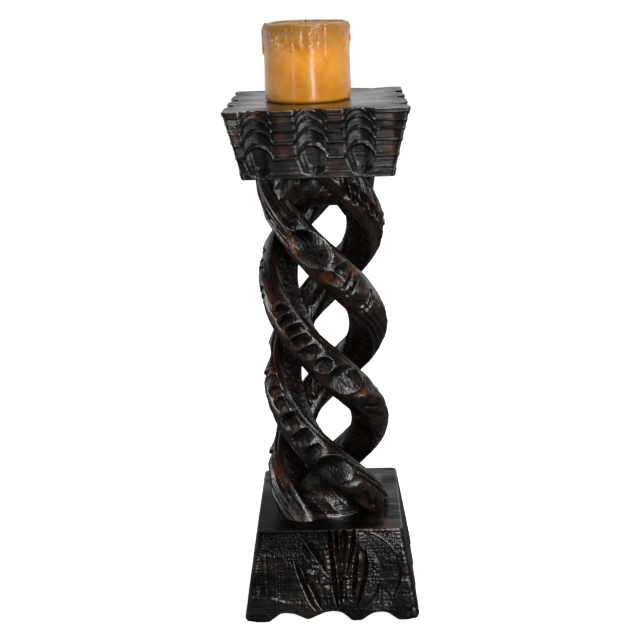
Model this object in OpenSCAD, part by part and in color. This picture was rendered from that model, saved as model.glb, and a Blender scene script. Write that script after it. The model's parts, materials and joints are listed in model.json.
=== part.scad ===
// Tall carved wooden candlestick: a two-board tapered base, an open twist of three strands
// carved from one post, a flared square capital with fluted faces, and a pillar candle.
// The origin is on the floor under the middle of the base. +Z is up and -Y is the front.

/* [Base] */
// Width of the square base at the floor
base_bottom_w = 162; // [148:1:196]
// Width of the square base where the column stands on it
base_top_w = 133; // [124:1:147]
// Thickness of the lower board
lower_board_h = 38; // [34:1:60]
// Thickness of the upper board
upper_board_h = 48; // [42:1:80]

/* [Base arches] */
// Arches along the bottom edge of each side
arch_count = 3; // [1:1:3]
// Width of one arch at the floor
arch_w = 30; // [16:1:36]
// Height of one arch
arch_h = 9.5; // [5:0.5:14]
// Distance from one arch to the next
arch_pitch = 42.5; // [38:0.5:46]
// Depth of the arches, measured in from the bottom edge
arch_depth = 20; // [8:1:26]

/* [Base carving] */
// Depth of the grooves of the leaf spray on the front
leaf_groove_depth = 2.5; // [1:0.25:4]
// Radius of the round gouge that cuts the leaves
leaf_gouge_r = 5; // [4:0.5:8]
// Radius of the outer edge of the crescent carved beside the leaves
crescent_r = 41; // [38:1:42]
// Radius of the inner edge of the crescent
crescent_inner_r = 31; // [24:1:34]
// Depth to which the crescent is sunk
crescent_depth = 1.5; // [0.5:0.25:3]

/* [Column] */
// Height of the column between the base and the capital
column_h = 322; // [220:1:420]
// Distance from the column's axis to the middle of each strand
twist_r = 40.5; // [34:0.5:42]
// Thickness of a strand, measured square to its run
strand_d = 36; // [30:0.5:38]
// Height in which a strand makes one full turn
twist_pitch = 282; // [200:1:400]
// Direction of the first strand where it leaves the base, in degrees
twist_start = -15; // [-180:1:180]
// Radius of the collars, the solid wood left between the strands at each end
collar_r = 44; // [38:1:52]
// Height of each collar
collar_h = 24; // [17:1:32]
// Radius of the rounding along each collar's inner edge
collar_round = 8; // [3:1:12]
// Radius of the cone of wood inside each collar, where it meets the base or the capital
core_r = 42; // [36:1:44]

/* [Capital] */
// Width of the square capital at its top
capital_top_w = 154; // [140:1:190]
// Width of the square capital at its bottom
capital_bottom_w = 128; // [122:1:139]
// Height of the lip along the capital's top edge
lip_h = 4.5; // [3:0.25:6]
// Heights of the hollow mouldings under the lip, from the top down
cove_heights = [7, 6.5, 9.5, 13, 12]; // [5:0.5:16]
// Height of the plain band under the mouldings
band_h = 5.5; // [4:0.5:12]
// Depth of each hollow moulding
cove_depth = 1.6; // [0.6:0.1:2.4]
// Flutes in each face of the capital
flute_count = 3; // [1:1:3]
// Distance from one flute to the next
flute_pitch = 41; // [34:1:43]
// How far the row of flutes stands left of the middle of its face
flute_shift = 5; // [0:0.5:8]
// Width of a flute at the top edge
flute_w = 24; // [16:1:32]
// Depth of a flute at the top edge
flute_depth = 4; // [2:0.25:6]
// Height in which a flute runs out to nothing
flute_run = 56; // [40:1:70]

/* [Candle] */
// Diameter of the pillar candle
candle_d = 76; // [60:1:84]
// Height of the candle
candle_h = 65; // [50:1:150]
// How far the candle stands left of the column's axis
candle_shift = 7.5; // [0:0.5:12]
// Depth of the melted hollow in the candle's top
melt_depth = 5; // [2:0.5:12]
// Width of the rim left round the melted hollow
melt_rim = 6; // [3:0.5:14]
// Radius of the rounding along the candle's rim
candle_rim_round = 3; // [1:0.5:4]
// Radius of the rounding along the candle's bottom edge
candle_foot_round = 3; // [0.5:0.5:4]
// Diameter of the wick
wick_d = 2.4; // [1.6:0.1:4]
// Height of the wick above the bottom of the melted hollow
wick_h = 7; // [3:0.5:15]

/* [Fixings] */
// Diameter of the lag screw that holds the column to the base
lag_d = 10; // [6:0.5:12]
// How far the lag screw bites into the column
lag_bite = 36; // [24:1:44]
// Width of the lag screw's six-sided head, across its flats
lag_head_w = 17; // [15:0.5:20]
// Height of the lag screw's head
lag_head_h = 6.4; // [4:0.2:8]
// Diameter of the washer under the lag screw's head
washer_d = 30; // [24:1:34]
// Thickness of the washer
washer_t = 2.5; // [1:0.5:4]
// Depth of the counterbore in the underside of the base
counterbore_h = 26; // [18:1:32]
// Diameter of the wood screw that holds the capital to the column
cap_screw_d = 7; // [5:0.5:8]
// How far the wood screw bites into the column
cap_screw_bite = 27; // [18:1:34]
// Diameter of the wood screw's head
cap_head_d = 14; // [12:0.5:18]
// Height of the wood screw's head
cap_head_h = 4; // [3:0.5:6]
// Depth of the counterbore in the top of the capital
cap_counterbore_h = 10; // [7:1:20]
// Diameter of the wooden dowels
dowel_d = 8; // [6:0.5:10]
// Length of the wooden dowels
dowel_len = 30; // [20:1:36]
// Distance of the dowels between the boards from the middle, along X and along Y
board_dowel_at = 46; // [40:1:50]
// Distance of the column's dowels from its axis
column_dowel_at = 20; // [18:1:22]
// Gap between a screw's shank and the hole it passes through
shank_gap = 0.5; // [0.2:0.1:1]
// Gap around a dowel or a screw that is glued or bites in its hole
hold_gap = 0.05; // [0.02:0.01:0.1]
// Gap left at the end of a dowel's or a screw's hole
end_gap = 1; // [0.5:0.5:2]

/* [Hidden] */
$fn = 64;

// heights above the floor
base_h = lower_board_h + upper_board_h;
column_top = base_h + column_h;
mouldings_h = sum(cove_heights);
capital_h = lip_h + mouldings_h + band_h;
capital_top = column_top + capital_h;
candle_top = capital_top + candle_h;
melt_floor = candle_top - melt_depth;

// slopes of the faces: how far a face moves out or in for each millimetre of height
base_slope = (base_bottom_w - base_top_w) / 2 / base_h;
capital_slope = (capital_top_w - capital_bottom_w) / 2 / capital_h;
base_tilt = atan(base_slope);
base_face_len = base_h / cos(base_tilt);

// middle of the crescent's outer edge, right of the middle of the face
crescent_at = 22;

// the twist, as horizontal slices of a slanted round strand
strand_r = strand_d / 2;
strand_rise = atan(twist_pitch / (2 * PI * twist_r));
strand_reach = strand_r / sin(strand_rise);
strand_sides = 20;
strand_rings = ceil(column_h / 6);
strand_count = 3;
core_h = lag_bite + 8;
head_h = cap_screw_bite + 8;
core_tip_r = 9;

// fixings
lag_seat = counterbore_h - washer_t;
lag_tip = base_h + lag_bite;
lag_tip_h = 8;
cap_seat = capital_top - cap_counterbore_h;
cap_tip = column_top - cap_screw_bite;
cap_tip_h = 6;
counterbore_d = washer_d + 4;
overcut = 1;

// wax pool: a shallow ball cut into the top
melt_r = candle_d / 2 - melt_rim;
melt_ball_r = (melt_r * melt_r + melt_depth * melt_depth) / (2 * melt_depth);
wick_root = melt_floor - 30;

function sum(list, i = 0) = i < len(list) ? list[i] + sum(list, i + 1) : 0;
function first(list, n) = n > 0 ? list[n - 1] + first(list, n - 1) : 0;
// radius of the circle whose arc spans a chord and rises by a height
function arc_r(chord, rise) = (chord * chord / 4 + rise * rise) / (2 * rise);

// A block with four sloping sides, from z0 to z1, as the overlap of two prisms
module tapered_block(w0, w1, z0, z1) {
    intersection() {
        sloped_prism(w0, w1, z0, z1);
        rotate([0, 0, 90]) sloped_prism(w0, w1, z0, z1);
    }
}

module sloped_prism(w0, w1, z0, z1) {
    reach = max(w0, w1) + 2 * overcut;
    rotate([90, 0, 0]) translate([0, 0, -reach / 2])
        linear_extrude(reach)
            polygon([[-w0 / 2, z0], [w0 / 2, z0], [w1 / 2, z1], [-w1 / 2, z1]]);
}

// Width of the base at a height
function base_w(z) = base_bottom_w - 2 * base_slope * z;

// The arches under one side: drums that lie across its bottom edge
module side_arches() {
    r = arc_r(arch_w, arch_h);
    for (i = [0 : arch_count - 1])
        translate([(i - (arch_count - 1) / 2) * arch_pitch, -base_bottom_w / 2 - overcut, arch_h - r])
            rotate([-90, 0, 0])
                cylinder(r = r, h = arch_depth + overcut);
}

// Puts its children on the sloping front of the base: X across, Y up the slope, Z out
module on_base_front() {
    translate([0, -base_bottom_w / 2, 0])
        rotate([90 - base_tilt, 0, 0])
            children();
}

// One leaf: a round gouge that enters at the foot of the leaf, deepens and runs out at its tip
module leaf(foot, tip) {
    run = tip - foot;
    len = norm(run);
    sweep_r = arc_r(len, leaf_groove_depth);
    middle = (foot + tip) / 2;
    translate([middle[0], middle[1], sweep_r - leaf_groove_depth])
        rotate([0, 0, atan2(run[1], run[0])])
            rotate([90, 0, 0])
                rotate_extrude($fn = 128)
                    translate([sweep_r - leaf_gouge_r, 0])
                        circle(r = leaf_gouge_r);
}

// The leaf spray and the crescent on the front of the base
module front_carving() {
    mid = base_face_len * 0.5;
    on_base_front() {
        leaf([-22, mid - 24], [-34, mid + 12]);
        leaf([-12, mid - 27], [-24, mid + 28]);
        leaf([-2, mid - 27], [-1, mid + 36]);
        leaf([8, mid - 26], [15, mid + 34]);
        leaf([14, mid - 22], [24, mid + 16]);
        crescent(mid);
    }
}

// A sunk crescent to the right of the leaves: a disc less a smaller one that stands left of it
module crescent(mid) {
    difference() {
        translate([crescent_at, mid - 1, -crescent_depth])
            cylinder(r = crescent_r, h = crescent_depth + overcut, $fn = 96);
        translate([crescent_at - 9, mid - 2, -crescent_depth - overcut])
            cylinder(r = crescent_inner_r, h = crescent_depth + 3 * overcut, $fn = 96);
        translate([crescent_at - 2 * crescent_r, -overcut, -crescent_depth - overcut])
            cube([2 * crescent_r + 8, base_face_len + 2 * overcut, crescent_depth + 3 * overcut]);
    }
}

// The lower board stands on the floor, on the strips between its arches
module base_lower_board() {
    color([0.20, 0.13, 0.10])
        difference() {
            tapered_block(base_bottom_w, base_w(lower_board_h), 0, lower_board_h);
            for (a = [0 : 90 : 270])
                rotate([0, 0, a]) side_arches();
            translate([0, 0, -overcut])
                cylinder(d = counterbore_d, h = counterbore_h + overcut);
            cylinder(d = lag_d + 2 * shank_gap, h = lower_board_h + overcut);
            board_dowel_holes();
            front_carving();
        }
}

module base_upper_board() {
    color([0.22, 0.14, 0.10])
        difference() {
            tapered_block(base_w(lower_board_h), base_top_w, lower_board_h, base_h);
            translate([0, 0, lower_board_h - overcut])
                cylinder(d = lag_d + 2 * shank_gap, h = upper_board_h + 2 * overcut);
            board_dowel_holes();
            column_dowel_holes(base_h, 0);
            front_carving();
        }
}

// Four dowels across the glue line between the boards
module at_board_dowels() {
    for (x = [-1, 1], y = [-1, 1])
        translate([x * board_dowel_at, y * board_dowel_at, lower_board_h])
            children();
}

module board_dowels() {
    color([0.72, 0.55, 0.36])
        at_board_dowels() dowel();
}

module board_dowel_holes() {
    at_board_dowels() dowel_hole();
}

// A dowel with bevelled ends, its middle at the joint
module dowel() {
    bevel = 1;
    rotate_extrude()
        polygon([[0, -dowel_len / 2], [dowel_d / 2 - bevel, -dowel_len / 2],
            [dowel_d / 2, -dowel_len / 2 + bevel], [dowel_d / 2, dowel_len / 2 - bevel],
            [dowel_d / 2 - bevel, dowel_len / 2], [0, dowel_len / 2]]);
}

module dowel_hole() {
    translate([0, 0, -dowel_len / 2 - end_gap])
        cylinder(r = dowel_d / 2 + hold_gap, h = dowel_len + 2 * end_gap);
}

// Two dowels keep the column from turning on the base, and two keep the capital from turning
module at_column_dowels(z, turn) {
    for (side = [-1, 1])
        rotate([0, 0, turn])
            translate([side * column_dowel_at, 0, z])
                children();
}

module column_dowel_holes(z, turn) {
    at_column_dowels(z, turn) dowel_hole();
}

module column_dowels() {
    color([0.72, 0.55, 0.36]) {
        at_column_dowels(base_h, 0) dowel();
        at_column_dowels(column_top, 0) dowel();
    }
}

// A lag screw driven up from the underside, with a six-sided head and a pointed tip
module foot_lag_screw() {
    color([0.55, 0.55, 0.56]) {
        translate([0, 0, lag_seat - lag_head_h])
            cylinder(d = lag_head_w / cos(30), h = lag_head_h, $fn = 6);
        translate([0, 0, lag_seat])
            cylinder(d = lag_d, h = lag_tip - lag_seat - lag_tip_h);
        translate([0, 0, lag_tip - lag_tip_h])
            cylinder(d1 = lag_d, d2 = 1, h = lag_tip_h);
    }
}

module foot_washer() {
    color([0.60, 0.60, 0.61])
        difference() {
            translate([0, 0, lag_seat])
                cylinder(d = washer_d, h = washer_t);
            translate([0, 0, lag_seat - overcut])
                cylinder(d = lag_d + 2 * shank_gap, h = washer_t + 2 * overcut);
        }
}

// One point of a strand's slice: k is the strand, z the height and t the angle round the slice
function strand_point(k, z, t) =
    let (turn = twist_start + 120 * k - 360 * (z - base_h) / twist_pitch,
        r = twist_r + strand_r * cos(t),
        a = turn + strand_reach * sin(t) / twist_r * 180 / PI)
    [r * cos(a), r * sin(a), z];

module strand(k) {
    n = strand_rings;
    m = strand_sides;
    points = [for (i = [0 : n], j = [0 : m - 1])
        strand_point(k, base_h + column_h * i / n, 360 * j / m)];
    sides = [for (i = [0 : n - 1], j = [0 : m - 1], half = [0, 1])
        let (a = i * m + j, b = i * m + (j + 1) % m)
        half == 0 ? [a, a + m, b + m] : [a, b + m, b]];
    bottom = [for (j = [0 : m - 1]) j];
    top = [for (j = [m - 1 : -1 : 0]) n * m + j];
    polyhedron(points, concat(sides, [bottom, top]));
}

// A collar: a low drum that stands on the origin, with a rounded top edge
module collar() {
    rotate_extrude() {
        square([collar_r - collar_round, collar_h]);
        square([collar_r, collar_h - collar_round]);
        translate([collar_r - collar_round, collar_h - collar_round])
            intersection() {
                circle(r = collar_round);
                square(collar_round);
            }
    }
}

// The whole column is one post: three strands that wind to the left, and at both ends a
// collar and a cone of solid wood left between the strands, where the screws bite
module twist_column() {
    color([0.24, 0.15, 0.11])
        difference() {
            union() {
                for (k = [0 : strand_count - 1]) strand(k);
                translate([0, 0, base_h]) {
                    collar();
                    cylinder(r1 = core_r, r2 = core_tip_r, h = core_h);
                }
                translate([0, 0, column_top]) {
                    mirror([0, 0, 1]) collar();
                    translate([0, 0, -head_h])
                        cylinder(r1 = core_tip_r, r2 = core_r, h = head_h);
                }
            }
            translate([0, 0, base_h - overcut])
                cylinder(r = lag_d / 2 + hold_gap, h = lag_bite + end_gap + overcut);
            translate([0, 0, cap_tip - end_gap])
                cylinder(r = cap_screw_d / 2 + hold_gap, h = cap_screw_bite + end_gap + overcut);
            column_dowel_holes(base_h, 0);
            column_dowel_holes(column_top, 0);
        }
}

// Outline of one side of the capital, with a hollow cut out for each moulding
module capital_outline() {
    top = capital_top;
    difference() {
        polygon([[0, column_top], [capital_bottom_w / 2, column_top],
            [capital_top_w / 2, top], [0, top]]);
        for (i = [0 : len(cove_heights) - 1]) {
            middle = top - lip_h - first(cove_heights, i) - cove_heights[i] / 2;
            chord = cove_heights[i] / cos(atan(capital_slope));
            r = arc_r(chord, cove_depth);
            face_x = capital_bottom_w / 2 + (middle - column_top) * capital_slope;
            translate([face_x + (r - cove_depth) * cos(atan(capital_slope)),
                middle - (r - cove_depth) * sin(atan(capital_slope))])
                circle(r = r);
        }
    }
}

module capital_prism() {
    reach = capital_top_w + 2 * overcut;
    rotate([90, 0, 0]) translate([0, 0, -reach / 2])
        linear_extrude(reach) {
            capital_outline();
            mirror([1, 0]) capital_outline();
        }
}

// The flutes of one face: drums laid along the slope, deepest at the top edge
module face_flutes() {
    r = arc_r(flute_w, flute_depth);
    lean = atan(capital_slope) + atan(flute_depth / flute_run);
    for (i = [0 : flute_count - 1])
        translate([(i - (flute_count - 1) / 2) * flute_pitch - flute_shift,
            -capital_top_w / 2 + flute_depth - r, capital_top])
            rotate([-lean, 0, 0])
                translate([0, 0, -flute_run * 1.1])
                    cylinder(r = r, h = flute_run * 1.1 + r);
}

module capital_block() {
    color([0.25, 0.14, 0.10])
        difference() {
            intersection() {
                capital_prism();
                rotate([0, 0, 90]) capital_prism();
            }
            for (a = [0 : 90 : 270])
                rotate([0, 0, a]) face_flutes();
            translate([0, 0, cap_seat])
                cylinder(d = cap_head_d + 2, h = cap_counterbore_h + overcut);
            translate([0, 0, column_top - overcut])
                cylinder(d = cap_screw_d + 2 * shank_gap, h = capital_h + overcut);
            column_dowel_holes(column_top, 0);
        }
}

// A wood screw driven down through the capital, hidden under the candle
module capital_screw() {
    color([0.55, 0.55, 0.56]) {
        translate([0, 0, cap_seat])
            cylinder(d1 = cap_head_d, d2 = cap_head_d * 0.7, h = cap_head_h);
        translate([0, 0, cap_tip + cap_tip_h])
            cylinder(d = cap_screw_d, h = cap_seat - cap_tip - cap_tip_h);
        translate([0, 0, cap_tip])
            cylinder(d1 = 1, d2 = cap_screw_d, h = cap_tip_h);
    }
}

// The candle: a round pillar with rounded edges and a shallow melted hollow
module candle_body() {
    r = candle_d / 2;
    color([0.80, 0.52, 0.16])
        translate([-candle_shift, 0, 0])
            difference() {
                rotate_extrude($fn = 96)
                    candle_outline(r);
                translate([0, 0, melt_floor + melt_ball_r])
                    sphere(r = melt_ball_r, $fn = 96);
                translate([0, 0, wick_root - end_gap])
                    cylinder(r = wick_d / 2 + hold_gap, h = candle_top - wick_root + end_gap);
            }
}

module candle_outline(r) {
    lower = candle_foot_round;
    upper = candle_rim_round;
    translate([0, capital_top]) {
        square([r - lower, candle_h]);
        translate([0, lower])
            square([r, candle_h - lower - upper]);
        translate([r - lower, lower])
            circle(r = lower);
        translate([0, candle_h - upper - lower])
            square([r - upper, upper + lower]);
    }
}

module candle_wick() {
    color([0.10, 0.08, 0.07])
        translate([-candle_shift, 0, wick_root])
            cylinder(d = wick_d, h = melt_floor + wick_h - wick_root);
}

base_lower_board();
base_upper_board();
board_dowels();
foot_lag_screw();
foot_washer();
twist_column();
column_dowels();
capital_block();
capital_screw();
candle_body();
candle_wick();
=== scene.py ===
"""Carved wooden twist candlestick with a pillar candle, in metres, standing at the origin."""

import json
import math

import bmesh
import bpy
import numpy as np
from mathutils import Matrix, Vector

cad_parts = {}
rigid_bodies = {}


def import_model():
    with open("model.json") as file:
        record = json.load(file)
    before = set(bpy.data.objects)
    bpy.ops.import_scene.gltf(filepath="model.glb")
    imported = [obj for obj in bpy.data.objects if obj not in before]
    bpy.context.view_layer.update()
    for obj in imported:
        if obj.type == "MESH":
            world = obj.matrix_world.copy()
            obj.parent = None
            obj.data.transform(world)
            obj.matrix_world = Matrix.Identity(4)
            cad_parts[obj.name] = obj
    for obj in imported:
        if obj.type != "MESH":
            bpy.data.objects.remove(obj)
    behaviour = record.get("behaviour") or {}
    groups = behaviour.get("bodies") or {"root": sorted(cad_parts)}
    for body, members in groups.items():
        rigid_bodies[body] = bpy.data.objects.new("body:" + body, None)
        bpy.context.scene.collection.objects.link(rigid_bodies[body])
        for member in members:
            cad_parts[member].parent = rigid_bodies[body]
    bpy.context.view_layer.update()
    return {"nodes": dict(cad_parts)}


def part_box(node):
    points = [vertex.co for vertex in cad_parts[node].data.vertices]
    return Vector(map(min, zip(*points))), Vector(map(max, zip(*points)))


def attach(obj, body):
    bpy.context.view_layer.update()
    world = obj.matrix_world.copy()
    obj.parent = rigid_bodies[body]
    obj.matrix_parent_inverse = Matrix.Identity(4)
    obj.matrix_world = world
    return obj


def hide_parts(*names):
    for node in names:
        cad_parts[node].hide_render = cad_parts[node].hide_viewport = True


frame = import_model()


# ---------------------------------------------------------------- camera
# The camera stands a metre in front of the candlestick, just above the height of the candle.
# It looks down a little, is turned slightly to the left and is held a touch off level.
camera_place = (0.0213, -1.0075, 0.5827)
camera_turn = 0.025
camera_dip = 0.305
camera_roll = -0.034
bpy.ops.object.camera_add()
camera = bpy.context.object
camera.name = "camera"
camera.data.sensor_width = 36.0
camera.data.lens = 64.86
camera.matrix_world = (
    Matrix.Translation(camera_place)
    @ Matrix.Rotation(camera_turn, 4, "Z")
    @ Matrix.Rotation(math.pi / 2 - camera_dip, 4, "X")
    @ Matrix.Rotation(camera_roll, 4, "Z")
)
bpy.context.scene.camera = camera


# ---------------------------------------------------------------- floor
# A wide pale sweep of matt paper, laid flat under the candlestick. It is so evenly lit that it
# reads as a plain white ground.
def feed(tree, node, inputs):
    """Feeds a node's inputs with constant values or with other nodes' sockets."""
    for name, value in inputs.items():
        if isinstance(value, bpy.types.NodeSocket):
            tree.links.new(value, node.inputs[name])
        else:
            node.inputs[name].default_value = value


def add_node(tree, kind, inputs=None, **settings):
    """Adds a node, sets its properties, feeds its inputs, and gives back its outputs."""
    node = tree.nodes.new("ShaderNode" + kind)
    for name, value in settings.items():
        setattr(node, name, value)
    feed(tree, node, inputs or {})
    return node.outputs


def new_material(name):
    """A new material, its node tree, its shader, and the socket that gives places on the piece."""
    material = bpy.data.materials.new(name)
    material.use_nodes = True
    tree = material.node_tree
    spot = add_node(tree, "TexCoord")["Object"]
    return material, tree, tree.nodes["Principled BSDF"], spot


def color_steps(tree, factor, steps):
    """A colour ramp over (place, colour) pairs, driven by a socket."""
    node = tree.nodes.new("ShaderNodeValToRGB")
    feed(tree, node, {"Fac": factor})
    points = node.color_ramp.elements
    while len(points) < len(steps):
        points.new(0.5)
    for point, (place, color) in zip(points, steps):
        point.position = place
        point.color = (*color, 1.0)
    return node.outputs["Color"]


def edit_all(operator, **settings):
    """Runs an operator on the whole of the active mesh, in edit mode."""
    bpy.ops.object.mode_set(mode="EDIT")
    bpy.ops.mesh.select_all(action="SELECT")
    operator(**settings)
    bpy.ops.object.mode_set(mode="OBJECT")


bpy.ops.object.select_all(action="DESELECT")
bpy.ops.mesh.primitive_plane_add(size=1)
floor = bpy.context.object
floor.name = "floor"
edit_all(bpy.ops.transform.resize, value=(14, 14, 1))
edit_all(bpy.ops.mesh.subdivide, number_cuts=8)
paper, tree, shader, spot = new_material("pale_paper")
mottle = add_node(tree, "TexNoise", {"Vector": spot, "Scale": 3.0, "Detail": 3.0})
tint = color_steps(tree, mottle["Fac"],
                   [(0.3, (0.86, 0.86, 0.855)), (0.7, (0.89, 0.89, 0.885))])
# the paper is lit through from below, and a dark flag round the foot keeps its glare off the wood
seen = add_node(tree, "LightPath")["Is Camera Ray"]
side = add_node(tree, "SeparateXYZ", {"Vector": spot})
wide = add_node(tree, "Math", {0: side["X"]}, operation="ABSOLUTE")
lit = add_node(tree, "MapRange",
               {"Value": wide[0], "From Min": 0.9, "From Max": 1.8, "To Max": 0.9})
glow = add_node(tree, "Mix", {"Factor": seen, 2: lit[0], 3: 0.85})
flag = add_node(tree, "Mix", {"Factor": seen, 6: (0.07, 0.07, 0.07, 1.0), 7: tint},
                data_type="RGBA")
feed(tree, shader, {"Base Color": flag[2], "Roughness": 0.9, "Specular IOR Level": 0.1,
                    "Emission Color": (1.0, 1.0, 1.0, 1.0), "Emission Strength": glow[0]})
floor.data.materials.append(paper)


# ---------------------------------------------------------------- light
# Soft studio light: a tall narrow panel to the right of the camera with a small one above it,
# a weaker one to the left, a broad one overhead, and two low panels that lift the undersides.
# The walls are white all round, except behind the camera.
for name, place, aim, width, height, power in (
    ("key_light", (0.50, -2.0, 0.84), (0, 0, 0.35), 0.24, 1.3, 22),
    ("high_light", (1.0, -1.35, 1.75), (0, 0, 0.3), 0.5, 0.5, 18),
    ("fill_light", (-1.25, -1.7, 0.9), (0, 0, 0.35), 0.4, 1.2, 4.5),
    ("bounce_light", (0.40, -0.72, 0.03), (0, 0, 0.46), 0.75, 0.4, 6),
    ("side_bounce", (-1.2, 0.0, 0.15), (0, 0, 0.40), 0.7, 0.26, 3.2),
    ("top_light", (0.28, -0.22, 1.7), (0, 0, 0.4), 0.9, 0.6, 11),
):
    bpy.ops.object.light_add(type="AREA", location=place)
    light = bpy.context.object
    light.name = name
    light.visible_camera = False
    light.data.shape = "RECTANGLE"
    light.data.size = width
    light.data.size_y = height
    light.data.energy = power
    light.rotation_mode = "QUATERNION"
    light.rotation_quaternion = (Vector(place) - Vector(aim)).to_track_quat("Z", "Y")

world = bpy.data.worlds.new("studio")
bpy.context.scene.world = world
world.use_nodes = True
tree = world.node_tree
seen = add_node(tree, "LightPath")["Is Camera Ray"]
heading = add_node(tree, "TexCoord")["Generated"]
behind = add_node(tree, "SeparateXYZ", {"Vector": heading})["Y"]
walls = add_node(tree, "MapRange",
                 {"Value": behind, "From Min": -0.12, "From Max": 0.50, "To Min": 0.003,
                  "To Max": 0.59}, interpolation_type="SMOOTHSTEP")
air = add_node(tree, "Mix",
               {"Factor": seen, 6: walls["Result"], 7: (1.0, 1.0, 1.0, 1.0)},
               data_type="RGBA")
tree.links.new(air[2], tree.nodes["Background"].inputs["Color"])
bpy.context.scene.view_settings.view_transform = "Standard"


# ---------------------------------------------------------------- lower board of the base
# The lower half of the base: a thick square board of stained hardwood with sloping sides, sawn
# into three arches along each bottom edge. It stands on its corners and on the lobes between
# the arches. Its front takes the foot of a leaf spray, cut by hand after the boards were glued.
MM = 0.001


def box_mm(node):
    """The low and the high corner of a frame node's box, in mm."""
    return [np.array(corner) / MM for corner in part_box(node)]


board_half, _, joint_z = box_mm("base_lower_board")[1]
joint_half, _, base_top = box_mm("base_upper_board")[1]
board_slope = (board_half - joint_half) / joint_z
edge_round = 1.1
corner_round = 5.0
counterbore_r = 17.0
counterbore_top = 26.0
lag_hole_r = 5.2
arch_inset = 1 - 20 / 81  # the arches run 20 mm in under the board


def scatter(a, b, seed):
    """A fixed number from 0 to 1 for each pair of numbers, as if by chance."""
    mixed = np.sin(a * 12.9898 + b * 78.233 + seed * 37.719) * 43758.5453
    return mixed - np.floor(mixed)


def soft_noise(x, y, size, seed):
    """Smooth ups and downs from -1 to 1, about size across."""
    x, y = x / size, y / size
    column, row = np.floor(x), np.floor(y)
    u, v = x - column, y - row
    u, v = u * u * (3 - 2 * u), v * v * (3 - 2 * v)
    low = scatter(column, row, seed) * (1 - u) + scatter(column + 1, row, seed) * u
    high = scatter(column, row + 1, seed) * (1 - u) + scatter(column + 1, row + 1, seed) * u
    return 2 * (low * (1 - v) + high * v) - 1


def unit(value):
    """A value kept between 0 and 1."""
    return np.clip(value, 0, 1)


def ramp(value, start, end):
    """0 before start, 1 after end, and a smooth rise between."""
    share = unit((value - start) / (end - start))
    return share * share * (3 - 2 * share)


def fall(value, start, end):
    """1 before start, 0 after end, and a smooth fall between."""
    return ramp(-value, -end, -start)


def pecks(x, y, size, seed):
    """Small round dents struck at scattered places, about size apart, from 0 to 1."""
    column, row = np.floor(x / size), np.floor(y / size)
    dent = np.zeros(np.shape(x))
    for c in (column - 1, column, column + 1):
        for r in (row - 1, row, row + 1):
            away = np.hypot(
                x - (c + 0.2 + 0.6 * scatter(c, r, seed)) * size,
                y - (r + 0.2 + 0.6 * scatter(c, r, seed + 1)) * size,
            )
            reach = size * (0.4 + 0.35 * scatter(c, r, seed + 2))
            strength = 0.4 + 0.6 * scatter(c, r, seed + 3)
            dent = np.maximum(dent, strength * unit(1 - away / reach))
    return dent


def gouge_cut(x, y, points, half_width, depth):
    """The depth of a V-shaped cut along a bent line. It runs out to a point at both ends."""
    lengths = [math.dist(a, b) for a, b in zip(points, points[1:])]
    nearest, share, run = np.full(np.shape(x), 1e9), np.zeros(np.shape(x)), 0.0
    for (ax, ay), (bx, by), length in zip(points, points[1:], lengths):
        ux, uy = (bx - ax) / length, (by - ay) / length
        along = np.clip((x - ax) * ux + (y - ay) * uy, 0, length)
        away = np.hypot(x - ax - along * ux, y - ay - along * uy)
        share = np.where(away < nearest, (run + along) / sum(lengths), share)
        nearest = np.minimum(nearest, away)
        run += length
    swell = np.clip(np.minimum(share, 1 - share) / 0.22, 0.12, 1) ** 0.6
    return depth * swell * unit(1 - nearest / (half_width * swell)) ** 0.85


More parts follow.
